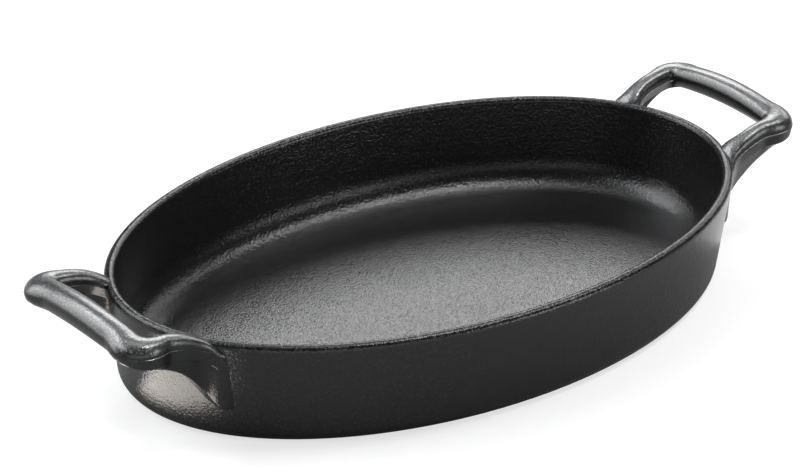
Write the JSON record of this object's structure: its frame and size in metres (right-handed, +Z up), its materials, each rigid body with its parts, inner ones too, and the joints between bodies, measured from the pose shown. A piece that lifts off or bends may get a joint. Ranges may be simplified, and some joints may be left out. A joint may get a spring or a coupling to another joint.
{
  "type": "gratin dish",
  "caption": "Shallow oval baking dish with a loop handle at each end of its long axis, a rounded inner floor and a foot ring.",
  "frame": {"origin": "middle of the foot, on the surface that the dish stands on", "axes": "+X along the oval's long axis through the right handle, +Y across the oval, +Z up"},
  "size_m": [0.3818, 0.2002, 0.0622],
  "materials": {
    "body_glaze": "satin",
    "handle_glaze": "satin"
  },
  "bodies": {
    "root": {"dish_body": "body_glaze", "left_handle": "handle_glaze", "right_handle": "handle_glaze"}
  },
  "joints": []
}
